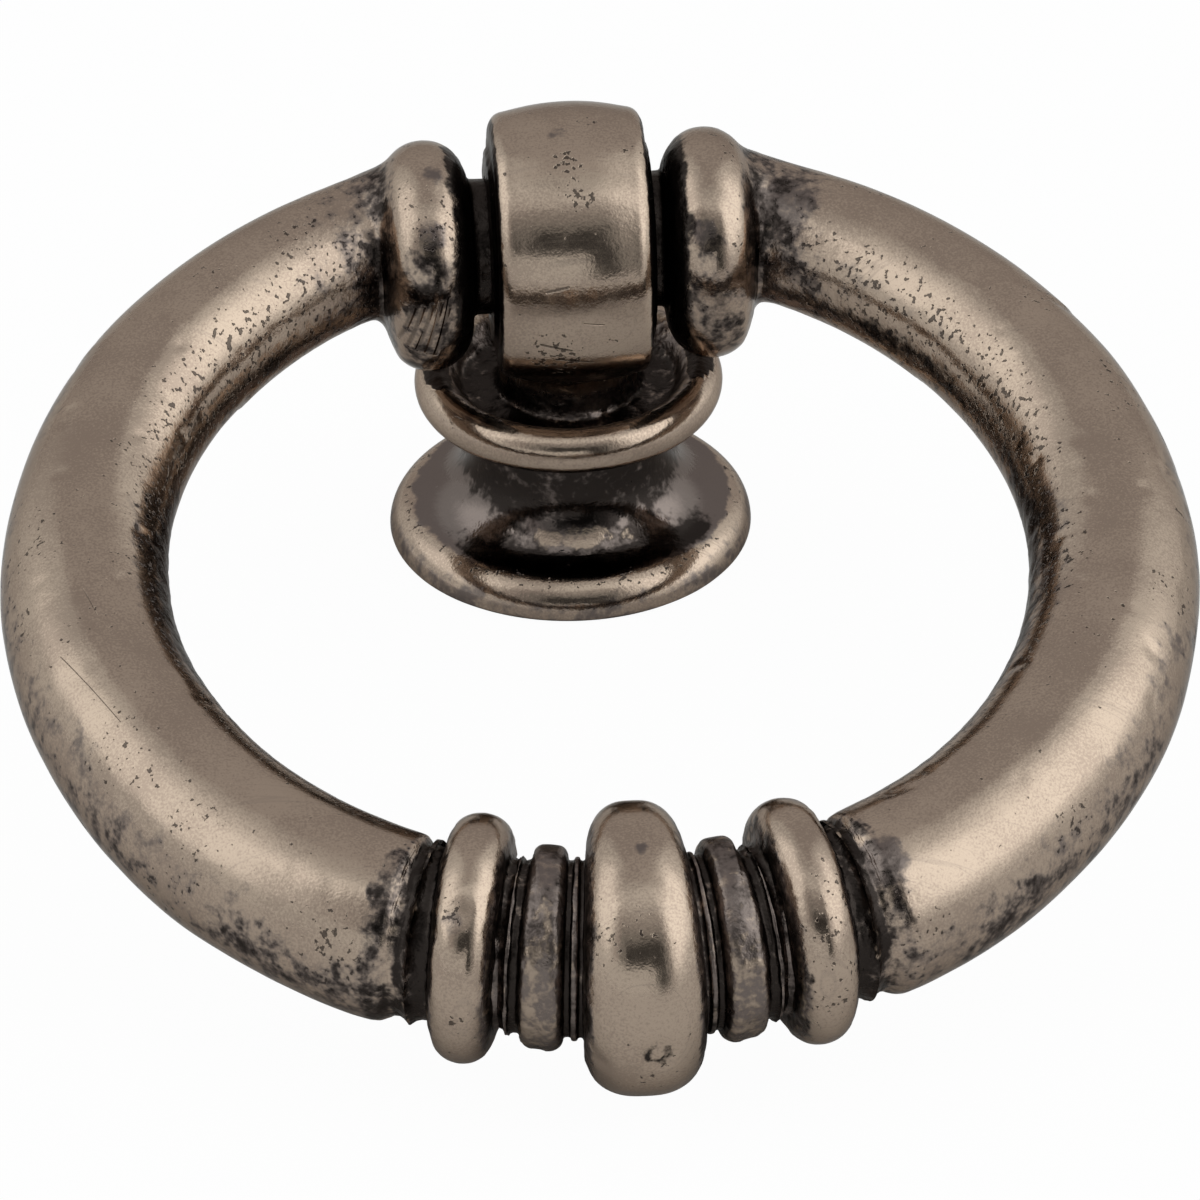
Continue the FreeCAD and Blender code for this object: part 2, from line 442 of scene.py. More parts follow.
    def bead_loops(self, bead: Bead) -> list[Loop]:
        """Loops over one bead, square to the path or with a lean of its own."""
        if bead.lean is None:
            return [self.path_loop(distance, radius) for distance, radius in bead.profile(self.groove_radius)]
        x, y, _ = self.on_path(bead.spacing)
        loops = []
        for distance, radius in bead.profile(self.groove_radius):
            away = distance - bead.spacing
            place = (x + away * math.cos(bead.lean), y + bead.lift + away * math.sin(bead.lean))
            loops.append(Loop(*place, radius, bead.lean))
        return loops

    def path_loop(self, distance: float, radius: float) -> Loop:
        """Loop of this radius, square to the path at a distance from the ring's bottom middle."""
        x, y, turn = self.on_path(distance)
        return Loop(x, y, radius, turn)

    def ornament_loops(self) -> list[Loop]:
        """Loops from the middle of the centre bead over the last bead to its far foot."""
        half = self.bead_loops(self.centre_bead)
        loops = [self.path_loop(0.0, self.centre_bead.radius)] + half[len(half) // 2:]
        for bead in self.beads:
            over = self.bead_loops(bead)
            loops.append(between(loops[-1], over[0], 0.5, self.groove_radius))
            loops += over
        return loops

    def tube_loops(self, before: Loop) -> list[Loop]:
        """Loops across the last groove, over the tube's rounded lower end and up to the ear.

        Args:
            before: The last loop of the ornament.
        """
        end = self.tube_end_spacing
        full = self.tube_radius(math.pi - (end + self.tube_end_round) / self.half_width())
        rim = full - self.tube_end_round
        start = 180.0 - math.degrees(math.asin((self.groove_radius + 0.03 - rim) / self.tube_end_round))
        shoulder = arc_points(end + self.tube_end_round, rim, self.tube_end_round, start, 90, 5)
        after = self.path_loop(shoulder[0][0] - 0.06, self.groove_radius)
        rib = self.groove_radius + self.groove_rib
        loops = [between(before, after, share, radius)
                 for share, radius in ((0.3, self.groove_radius), (0.5, rib), (0.7, self.groove_radius))]
        loops.append(after)
        last = (math.pi - math.asin(self.tube_last_x / self.half_width())) * self.half_width()
        first = shoulder[-1][0]
        count = round((last - first) / self.tube_step)
        stretch = [first + (last - first) * i / count for i in range(1, count + 1)]
        shoulder += [(distance, self.tube_radius(math.pi - distance / self.half_width()))
                     for distance in stretch]
        return loops + [self.path_loop(distance, radius) for distance, radius in shoulder]

    def ear_loops(self) -> list[Loop]:
        """Loops over the blend into the ear, round its rim and along the trunnion to its end."""
        outer = self.ear_inner + self.ear_thickness
        blend = [
            ((outer + 2.15, 3.30), (outer + 0.155, -3.10)),
            ((outer + 1.25, 3.68), (outer + 0.105, -3.20)),
            ((outer + 0.60, 3.95), (outer + 0.065, -3.34)),
            ((outer + 0.10, 4.10), (outer + 0.03, -3.55)),
            ((outer - 0.25, 4.24), (outer, -3.86)),
        ]
        loops = [loop_through(upper, lower) for upper, lower in blend]
        middle = self.ear_inner + self.ear_thickness / 2.0
        spare = self.ear_thickness / 2.0 - self.ear_edge_round
        rim = self.ear_radius - self.ear_edge_round
        outside = arc_points(middle + spare, rim, self.ear_edge_round, 38, 90, 6)
        inside = arc_points(middle - spare, rim, self.ear_edge_round, 90, 170, 8)
        loops += [Loop(x, -self.ear_drop, radius, math.pi) for x, radius in outside + inside]
        journal_end = self.journal_end_gap / 2.0
        corner = journal_end + self.journal_chamfer
        journal = [
            (self.ear_inner + 0.02, self.journal_radius + 0.25),
            (self.ear_inner - 0.06, self.journal_radius + 0.02),
            (self.ear_inner - 0.2, self.journal_radius),
            (self.ear_inner - 1.0, self.journal_radius),
            (self.ear_inner - 2.2, self.journal_radius),
            (corner + 0.1, self.journal_radius),
            (corner, self.journal_radius - 0.02),
            (journal_end + 0.03, self.journal_radius - self.journal_chamfer),
            (journal_end, self.journal_radius - self.journal_chamfer - 0.05),
        ]
        loops += [Loop(x, -0.2 if i == 0 else 0.0, radius, math.pi)
                  for i, (x, radius) in enumerate(journal)]
        return loops

    def build(self) -> Piece:
        """Models one half of the ring, mirrors it, and lays it down in its place.

        Returns:
            The ring as one closed mesh, in the CAD frame.
        """
        loops = self.ornament_loops()
        loops += self.tube_loops(loops[-1]) + self.ear_loops()
        piece = pull_loops("ring_casting", loops, self.sides, False, True)
        face_outwards(piece)
        apply_modifier(piece, "MIRROR", use_axis=(True, False, False), use_clip=True, merge_threshold=0.00002)
        face_outwards(piece)
        apply_modifier(piece, "SUBSURF", levels=1, render_levels=1)
        self.weather(piece)
        self.lay_down(piece)
        log.info("ring: %d vertices, %d faces", len(piece.data.vertices), len(piece.data.polygons))
        return piece

    def nearest_on_path(self, places: np.ndarray) -> np.ndarray:
        """For each place, the nearest point of the path and its distance from the ring's bottom middle."""
        distances = np.arange(0.0, 67.0, 0.25)
        line = kdtree.KDTree(2 * len(distances))
        path = []
        for side in (1.0, -1.0):
            for distance in distances:
                x, y, turn = self.on_path(float(distance))
                line.insert((side * x, y, 0.0), len(path))
                path.append((side * x, y, distance, side * math.cos(turn), math.sin(turn)))
        line.balance()
        return np.array([path[line.find(p)[1]] for p in places.tolist()])

    def weather(self, piece: Piece) -> None:
        """Marks where film, patina, pits and casting grain lie, where shade is painted into the film and
        patina, and wears the surface inwards.

        Args:
            piece: The ring in its own plane.
        """
        places = vertex_places(piece)
        normals = vertex_normals(piece)
        nearest = self.nearest_on_path(places)
        out = places - np.column_stack([nearest[:, :2], np.zeros(len(places))])
        reach = np.linalg.norm(out, axis=1)
        along = nearest[:, 2]
        across = np.abs(places[:, 0])
        at_ears = places[:, 1] > self.ears_above
        inward = np.array([0.0, self.apex_above_pivot - self.half_length(), 0.0]) - places
        inward /= np.linalg.norm(inward, axis=1)[:, None]
        facing_in = (normals * inward).sum(1)
        low = wobble(places, 3.2, 3.0)
        fine = wobble(places, 0.9, 7.0)
        end = self.tube_end_spacing
        # where the ornament has its grooves, walls and ribs
        in_ornament = smooth_step(end + 0.9, end + 0.1, along)
        shoulder = smooth_step(end + 1.9, end + 0.9, along + 0.5 * low) * (1.0 - in_ornament)
        sideways = np.abs((normals[:, :2] * nearest[:, 3:]).sum(1))
        flank = smooth_step(0.55, 0.9, sideways + 0.08 * fine) * in_ornament
        floor = np.where(along < 2.6, 5.6, 4.9)
        groove = smooth_step(floor + 0.5, floor - 0.3, reach + 0.1 * fine) * in_ornament
        wall = smooth_step(0.3, 0.0, np.abs(reach - self.groove_radius)) * in_ornament
        on_rib = smooth_step(0.04, 0.16, reach - self.groove_radius)
        on_rib *= smooth_step(4.95, 4.7, reach) * in_ornament
        gap = smooth_step(end - 0.85, end - 0.65, along) * smooth_step(end + 0.1, end - 0.05, along)
        # the tube's inner side, and painted shade on its outer side and on its lower edge
        near_top = smooth_step(-24.0, -13.0, places[:, 1])
        limit = 0.60 + 0.24 * near_top
        tube = (1.0 - in_ornament) * smooth_step(8.7, 9.2, np.maximum(across, -places[:, 1]))
        inner = smooth_step(limit, limit + 0.3, facing_in + 0.14 * low) * tube
        dim = smooth_step(0.1, 0.75, facing_in + 0.2 * low) * (1.0 - 0.65 * near_top) * tube
        facing_out = smooth_step(0.1, 0.55, -facing_in) * tube
        # painted shade on the tube's outer side, put into the film
        outer = smooth_step(0.9, 0.45, normals[:, 2] + 0.25 * low) * facing_out
        outer *= smooth_step(13.0, 20.0, across)
        # painted shade on the tube's outer lower edge, put into the film and crust
        edge = smooth_step(0.6, 0.2, normals[:, 2] + 0.25 * low) * facing_out
        # the tube's neck at the ear, the crease beside the ear, the ear's inner side, and painted shade on
        # the ear's underside
        neck = smooth_step(15.0, 9.2, across + 1.2 * low) * smooth_step(-12.0, -8.0, places[:, 1])
        neck *= smooth_step(7.4, 8.6, across)
        crease = smooth_step(0.9, 0.2, np.abs(across - 8.75)) * at_ears
        inside = smooth_step(6.0, 4.9, across + 0.3 * low + 0.2 * fine) * at_ears
        # painted shade on the ear's underside
        painted_underside_shade = smooth_step(-0.35, -0.85, normals[:, 1] + 0.1 * low) * at_ears * (across < 8.6)
        surface = Surface.clean(len(places))
        # film and crust also take painted shade from the outer side, the lower edge and the ear's underside
        surface.film_and_shade = np.maximum.reduce([
            0.85 * groove, 0.6 * flank, 0.62 * dim, 0.62 * neck, 0.7 * crease, 0.55 * painted_underside_shade,
            0.6 * shoulder, 0.44 * outer, 0.5 * edge])
        surface.crust_and_shade = np.maximum.reduce([
            0.85 * wall, 0.46 * groove, 0.55 * flank, 0.84 * inner, 0.44 * neck, 0.6 * crease, inside,
            0.7 * gap, 0.48 * painted_underside_shade, 0.48 * shoulder, 0.36 * edge])
        surface.pits = np.maximum.reduce([
            0.62 * smooth_step(-0.1, 0.7, facing_in) * tube, 0.45 * neck, 0.5 * shoulder, 0.25 * painted_underside_shade,
            0.5 * smooth_step(0.1, -0.7, facing_in) * smooth_step(-0.1, 0.45, low),
            (0.35 + 0.12 * near_top) * smooth_step(0.12, 0.45, low)])
        surface.grain = np.maximum.reduce([
            groove, 0.4 * inner, 0.45 * neck, 0.8 * inside, 0.4 * shoulder])
        worn = smooth_step(0.1, -0.8, normals[:, 1] + 0.3 * low) * smooth_step(4.3, 4.45, reach)
        surface.glint = on_rib * np.maximum(
            (0.58 + 0.1 * gap) * smooth_step(-0.4, 0.5, wobble(places, 0.5, 19.0)), 0.55 * worn)
        surface.add_marks(places, self.marks)
        surface.keep_on(piece)
        wear = 0.08 * lumps(places, 6.0, 11.0) + 0.014 * lumps(places, 1.7, 13.0)
        wear += 0.025 * smooth_step(0.42, 0.6, wobble(places, 1.1, 15.0)) + surface.hollow
        wear += surface.grain * (0.09 - 0.05 * on_rib) * lumps(places, 0.55, 17.0)
        wear += on_rib * 0.05 * lumps(places, 1.3, 27.0)
        wear *= smooth_step(4.3, 4.6, across) + ~at_ears
        wear = np.clip(wear, 0.0, self.deepest_wear)
        move_vertices(piece, places - normals * wear[:, None])

    def lay_down(self, piece: Piece) -> None:
        """Turns the finished ring about its pivot until it rests on the mounting plane."""
        tilt = Matrix.Rotation(self.rest_tilt(), 4, "X")
        piece.data.transform(Matrix.Translation((0, 0, self.pivot_height * MM)) @ tilt)
        piece.data.update()


def between(first: Loop, second: Loop, share: float, radius: float) -> Loop:
    """The loop of a given radius at a share of the way from one loop to another."""
    x, y, turn = (getattr(first, name) + (getattr(second, name) - getattr(first, name)) * share
                  for name in ("x", "y", "turn"))
    return Loop(x, y, radius, turn)


def loop_through(upper: Point, lower: Point) -> Loop:
    """The loop whose highest and lowest points, in the ring's plane, are given in millimetres."""
    dx = upper[0] - lower[0]
    dy = upper[1] - lower[1]
    turn = math.pi - math.atan2(dx, dy)
    return Loop((upper[0] + lower[0]) / 2, (upper[1] + lower[1]) / 2, math.hypot(dx, dy) / 2, turn)


@dataclass
class Post:
    """The cast post: foot, flare, neck and dished collar below a crowned knuckle with a cross bore."""

    pivot_height: float = 15.6
    knuckle_radius: float = 6.6
    knuckle_width: float = 7.25
    knuckle_crown: float = 0.35
    knuckle_corner: float = 0.85
    knuckle_side_shift: float = 0.15
    boss_radius: float = 4.5
    boss_height: float = 0.22
    bore_radius: float = 3.23
    hole_radius: float = 1.73
    hole_depth: float = 8.0
    base_radius: float = 8.55
    rim_lower_round: float = 0.35
    rim_shoulder_radius: float = 8.2
    rim_shoulder_height: float = 1.3
    rim_top_radius: float = 7.1
    rim_top_height: float = 1.95
    neck_radius: float = 4.7
    neck_height: float = 5.6
    flare_sag: float = 0.84
    collar_radius: float = 7.27
    collar_round: float = 1.15
    collar_height: float = 8.12
    recess_outer_radius: float = 5.95
    dish_height: float = 8.2
    dish_inner_radius: float = 5.0
    dish_sag: float = 0.15
    recess_inner_radius: float = 4.85
    recess_floor: float = 7.95
    root_radius: float = 3.3
    sides: int = 72
    marks: tuple[Mark, ...] = (
        Mark(MarkKind.PITS, (-0.04, -2.64, 21.64), 1.1, 1.0),
        Mark(MarkKind.PITS, (0.43, -4.3, 20.59), 1.0, 1.0),
        Mark(MarkKind.PITS, (0.97, -0.04, 22.16), 0.6, 0.9),
        Mark(MarkKind.PITS, (-1.18, -6.39, 14.31), 1.6, 0.5),
        Mark(MarkKind.PITS, (-0.94, -5.98, 12.96), 2.2, 0.75),
        Mark(MarkKind.PITS, (1.9, -6.1, 13.4), 1.2, 0.5),
        Mark(MarkKind.DENT, (0.2, -3.4, 21.2), 1.3, 0.04),
        Mark(MarkKind.DENT, (-1.6, -1.0, 22.1), 1.6, 0.05),
        Mark(MarkKind.STAIN, (-0.4, -0.9, 22.1), 0.8, 0.45),
    )

    def body_profile(self) -> list[Point]:
        """Height and radius of each loop, from the fixing hole's bottom round the foot up to the root."""
        low = self.rim_lower_round
        under = self.collar_height - self.collar_round
        over = self.collar_height + self.collar_round
        bead = self.collar_radius - self.collar_round
        foot = self.base_radius - low
        hole = self.hole_radius
        points = [(self.hole_depth, hole - 0.05), (self.hole_depth - 0.05, hole)]
        points += [(self.hole_depth * share, hole) for share in (0.75, 0.5, 0.25)]
        points += [(0.06, hole), (0.0, hole + 0.05)]
        points += [(0.0, hole + (foot - hole) * share) for share in (0.25, 0.5, 0.75, 0.97)]
        points += [(low - low * math.cos(a), foot + low * math.sin(a))
                   for a in (0.3, 0.8, 1.2, math.pi / 2)]
        rim = three_point_arc(
            (low, self.base_radius), (self.rim_shoulder_height, self.rim_shoulder_radius),
            (self.rim_top_height, self.rim_top_radius), 8)
        flare = bowed_arc(
            (self.rim_top_height, self.rim_top_radius), (self.neck_height, self.neck_radius),
            -self.flare_sag, 10)
        points += rim[1:] + flare[1:]
        points += [((self.neck_height + under) / 2, self.neck_radius), (under - 0.12, self.neck_radius)]
        points += [(under, self.neck_radius + 0.12), (under, (self.neck_radius + bead) / 2)]
        points += [(self.collar_height - self.collar_round * math.cos(a),
                    bead + self.collar_round * math.sin(a)) for a in np.linspace(0.0, math.pi, 11)]
        points += bowed_arc(
            (over, self.recess_outer_radius), (self.dish_height, self.dish_inner_radius), self.dish_sag, 5)
        recess, root = self.recess_floor, self.root_radius
        points += [(recess, self.recess_inner_radius), (recess, root + 0.7), (recess + 0.05, root + 0.2)]
        top = self.pivot_height - 0.6 * self.knuckle_radius
        points += [(recess + 0.3, root), (recess + (top - recess) * 0.5, root), (top, root)]
        return points

    def knuckle_profile(self) -> list[Point]:
        """Distance along the pivot and radius of each loop, from one bore mouth to the other."""
        half = self.knuckle_width / 2.0
        full = half + self.boss_height
        edge = self.knuckle_radius - self.knuckle_crown
        corner = self.knuckle_corner
        step = self.boss_radius + self.boss_height
        right = [(full - 0.05, self.bore_radius), (full, self.bore_radius + 0.06)]
        right += [(full, self.boss_radius - 0.3), (full, self.boss_radius), (half, step), (half, step + 0.3)]
        right += arc_points(half - corner, edge - corner, corner, 0, 90, 6)
        bend = (corner - half) ** 2 / (2.0 * self.knuckle_crown)
        crown = [(half - corner) * share for share in (0.8, 0.6, 0.4, 0.2)]
        right += [(x, self.knuckle_radius - x ** 2 / (2.0 * bend)) for x in crown]
        left = [(-x, radius) for x, radius in reversed(right)]
        return right + [(0.0, self.knuckle_radius)] + left

    def build(self) -> Piece:
        """Models body and knuckle and joins them into one casting.

        Returns:
            The post as one closed mesh, in the CAD frame.
        """
        turned = [Loop(height, 0.0, radius) for height, radius in self.body_profile()]
        body = pull_loops("post_casting", turned, self.sides, True, True)
        body.data.transform(Matrix.Rotation(-math.pi / 2, 4, "Y"))
        face_outwards(body)
        apply_modifier(body, "SUBSURF", levels=1, render_levels=1)
        turned = [Loop(x, 0.0, radius) for x, radius in self.knuckle_profile()]
        knuckle = pull_loops("knuckle", turned, self.sides, False, False)
        make_active(knuckle)
        bpy.ops.object.mode_set(mode="EDIT")
        bpy.ops.mesh.select_all(action="DESELECT")
        bpy.ops.mesh.select_non_manifold(
            extend=False, use_multi_face=False, use_non_contiguous=False, use_verts=False)
        bpy.ops.mesh.bridge_edge_loops(number_cuts=7)
        bpy.ops.object.mode_set(mode="OBJECT")
        knuckle.data.transform(Matrix.Translation((self.knuckle_side_shift * MM, 0, self.pivot_height * MM)))
        face_outwards(knuckle)
        apply_modifier(knuckle, "SUBSURF", levels=1, render_levels=1)
        apply_modifier(body, "BOOLEAN", operation="UNION", solver="EXACT", object=knuckle)
        bpy.data.objects.remove(knuckle)
        face_outwards(body)
        self.weather(body)
        log.info("post: %d vertices, %d faces", len(body.data.vertices), len(body.data.polygons))
        return body

    def weather(self, piece: Piece) -> None:
        """Marks where film, patina, pits and casting grain lie, where shade and dark reflections are painted
        into the film and patina, and wears the surface inwards.

        Args:
            piece: The post in its place.
        """
        places = vertex_places(piece)
        normals = vertex_normals(piece)
        radius = np.hypot(places[:, 0], places[:, 1])
        height = places[:, 2]
        across = np.abs(places[:, 0] - self.knuckle_side_shift)
        barrel = np.hypot(places[:, 1], height - self.pivot_height)
        front = np.abs(np.degrees(np.arctan2(places[:, 0], -places[:, 1])))
        low = wobble(places, 2.4, 21.0)
        fine = wobble(places, 0.8, 22.0)
        rough_edge = 0.16 * low + 0.1 * fine
        on_knuckle = (height > 9.0) & (barrel < self.knuckle_radius + 0.1)
        half = self.knuckle_width / 2
        cheek = smooth_step(half - 0.35, half - 0.05, across) * on_knuckle
        # painted shade on the knuckle's underside
        painted_underside_shade = smooth_step(-0.55, -0.9, normals[:, 2] + 0.15 * low) * on_knuckle
        bead = self.collar_radius - self.collar_round
        dish = smooth_step(bead + 0.35, bead - 0.25, radius + rough_edge)
        dish *= (height > self.recess_floor - 0.05) * ~on_knuckle
        # painted shadow on the neck and the top of the flare under the collar
        neck = smooth_step(5.7, 4.8, radius + 1.5 * rough_edge) * (height < self.collar_height)
        # painted shade on the underside of the collar
        under = smooth_step(-0.25, -0.75, normals[:, 2]) * (height > self.neck_height) * (height < 8.2)
        on_flare = (height < self.neck_height + 0.2) & (height > self.rim_shoulder_height)
        flare = smooth_step(7.8, 7.1, radius + 1.3 * rough_edge) * on_flare
        # in front the flare has a black saucer of patina with a painted dark reflection, broken patina and
        # painted dark reflection above it, and a painted highlight patch in the middle
        black = smooth_step(86.0, 28.0, front + 14.0 * low + 8.0 * fine) * flare
        black *= smooth_step(7.45, 7.05, radius + rough_edge) * smooth_step(5.8, 6.4, radius + rough_edge)
        broken = smooth_step(66.0, 40.0, front + 12.0 * fine) * smooth_step(4.9, 5.3, radius) * flare
        pale = smooth_step(36.0, 14.0, front + 12.0 * fine) * smooth_step(6.25, 5.8, radius + 0.3 * fine)
        pale *= smooth_step(5.1, 5.5, radius - 0.2 * fine) * flare
        # painted shade on the steep side of the base rim
        rim = smooth_step(0.95, 0.3, normals[:, 2] + 0.3 * low) * (height < self.rim_shoulder_height + 0.3)
        bottom = (height < 0.02) | (radius < self.hole_radius + 0.1) & (height < self.hole_depth + 0.1)
        surface = Surface.clean(len(places))
        # film and crust also take painted shade under the knuckle, on the neck, under the collar and on the
        # rim, and painted dark reflection in front of the flare
        surface.film_and_shade = np.maximum.reduce([
            flare, 0.8 * dish, 0.5 * painted_underside_shade, 0.8 * neck, 0.45 * bottom, 0.55 * under, 0.52 * rim])
        surface.crust_and_shade = np.maximum.reduce([
            cheek, 0.55 * painted_underside_shade, 0.47 * dish, 0.78 * neck, 0.8 * under, black, 0.5 * broken])
        surface.pits = np.maximum.reduce([
            0.6 * painted_underside_shade, 0.7 * smooth_step(8.45, 7.5, radius) * on_flare * (1.0 - flare),
            0.45 * smooth_step(-0.1, 0.5, low) * (radius > bead) * (height > self.neck_height),
            0.35 * smooth_step(0.1, 0.5, low) * on_knuckle])
        surface.grain = np.maximum.reduce([
            0.8 * cheek, 0.7 * painted_underside_shade, dish, 0.1 * neck, 0.3 * under, 0.35 * pale])
        # the pale patch is a painted highlight in the rubbed colour
        surface.glint = np.maximum(0.72 * pale, 0.58 * dish * smooth_step(4.9, 5.8, radius))
        surface.add_marks(places, self.marks)
        surface.keep_on(piece)
        wear = 0.06 * lumps(places, 4.5, 23.0) + 0.012 * lumps(places, 1.5, 29.0)
        wear += surface.grain * 0.08 * lumps(places, 0.5, 31.0) + surface.hollow
        in_bore = (barrel < self.bore_radius + 0.3) & on_knuckle
        wear *= np.where(bottom | (height < 0.05) | in_bore, 0.0, 1.0)
        move_vertices(piece, places - normals * wear[:, None])


def three_point_arc(a: Point, b: Point, c: Point, count: int) -> list[Point]:
    """Points on the arc through three points, in order."""
    (ax, ay), (bx, by), (cx, cy) = a, b, c
    d = 2 * (ax * (by - cy) + bx * (cy - ay) + cx * (ay - by))
    aa, bb, cc = (px * px + py * py for px, py in (a, b, c))
    x = (aa * (by - cy) + bb * (cy - ay) + cc * (ay - by)) / d
    y = (aa * (cx - bx) + bb * (ax - cx) + cc * (bx - ax)) / d
    start = math.atan2(ay - y, ax - x)
    sweep = math.remainder(math.atan2(cy - y, cx - x) - start, 2 * math.pi)
    return arc_points(
        x, y, math.hypot(ax - x, ay - y), math.degrees(start), math.degrees(start + sweep), count)


def bowed_arc(a: Point, b: Point, sag: float, count: int) -> list[Point]:
    """Points on the arc between two points that leaves their chord by its sag."""
    length = math.hypot(b[0] - a[0], b[1] - a[1])
    side = ((b[1] - a[1]) / length, -(b[0] - a[0]) / length)
    middle = ((a[0] + b[0]) / 2 - side[0] * sag, (a[1] + b[1]) / 2 - side[1] * sag)
    return three_point_arc(a, middle, b, count)


@dataclass(frozen=True)
class Scratch:
    """A scraped line between two points of a piece, in millimetres.

    It follows the surface in the direction in which its distances are flattened.
    """

    start: Triple
    end: Triple
    width: float
    flatten: Triple = (1.0, 0.15, 1.0)


class Nodes:
    """Adds nodes to one node tree and links them."""

    def __init__(self, tree: bpy.types.NodeTree) -> None:
        self.tree = tree

    def add(self, kind: str, **settings: object) -> bpy.types.Node:
        """Adds a node and sets its own properties, not its inputs."""
        node = self.tree.nodes.new(f"ShaderNode{kind}")
        for name, value in settings.items():
            setattr(node, name, value)
        return node

    def feed(self, socket: Socket, value: object) -> None:
        """Links an input to another node's output, or gives it a plain value."""
        if isinstance(value, Socket):
            self.tree.links.new(value, socket)
        else:
            socket.default_value = value

    def attribute(self, name: str) -> Socket:
        """Reads one value that the piece keeps at its vertices."""
        return self.add("Attribute", attribute_name=name).outputs["Fac"]

    def noise(self, vector: Socket, scale: float, detail: float) -> Socket:
        """Noise pattern on the object's own coordinates."""
        node = self.add("TexNoise")
        for name, value in (("Vector", vector), ("Scale", scale), ("Detail", detail)):
            self.feed(node.inputs[name], value)
        return node.outputs["Fac"]

    def math(self, operation: str, *values: object) -> Socket:
        """Result of a math node whose inputs are sockets or plain numbers."""
        node = self.add("Math", operation=operation)
        for socket, value in zip(node.inputs, values):
            self.feed(socket, value)
        return node.outputs[0]

    def sway(self, pattern: Socket, amount: float, base: object) -> Socket:
        """A base that goes up and down with a pattern round 0.5."""
        return self.math("MULTIPLY_ADD", self.math("SUBTRACT", pattern, 0.5), amount, base)

    def vector_math(self, operation: str, first: object, second: object) -> Socket:
        """Result of a vector math node on sockets, vectors or, for a scale, a number as the second."""
        node = self.add("VectorMath", operation=operation)
        self.feed(node.inputs[0], first)
        self.feed(node.inputs["Scale" if operation == "SCALE" else 1], second)
        return node.outputs["Value" if operation in ("DOT_PRODUCT", "DISTANCE") else "Vector"]

    def ramp(self, value: Socket, low: float, high: float) -> Socket:
        """Soft step from 0 at low to 1 at high."""
        node = self.add("MapRange", interpolation_type="SMOOTHSTEP")
        for name, part in (("Value", value), ("From Min", low), ("From Max", high)):
            self.feed(node.inputs[name], part)
        return node.outputs["Result"]

    def mix(self, share: Socket, first: object, second: object) -> Socket:
        """Colour between two sockets or plain colours."""
        node = self.add("Mix", data_type="RGBA")
        self.feed(node.inputs[0], share)
        for index, colour in ((6, first), (7, second)):
            self.feed(node.inputs[index], (*colour, 1.0) if isinstance(colour, tuple) else colour)
        return node.outputs[2]

    def show(self, output: str, share: Socket, first: bpy.types.Node, second: bpy.types.Node) -> None:
        """Sends a blend of two shaders to the tree's output node."""
        both = self.add("MixShader")
        for socket, value in zip(both.inputs, (share, first.outputs[0], second.outputs[0])):
            self.feed(socket, value)
        self.feed(self.tree.nodes[output].inputs["Surface"], both.outputs[0])


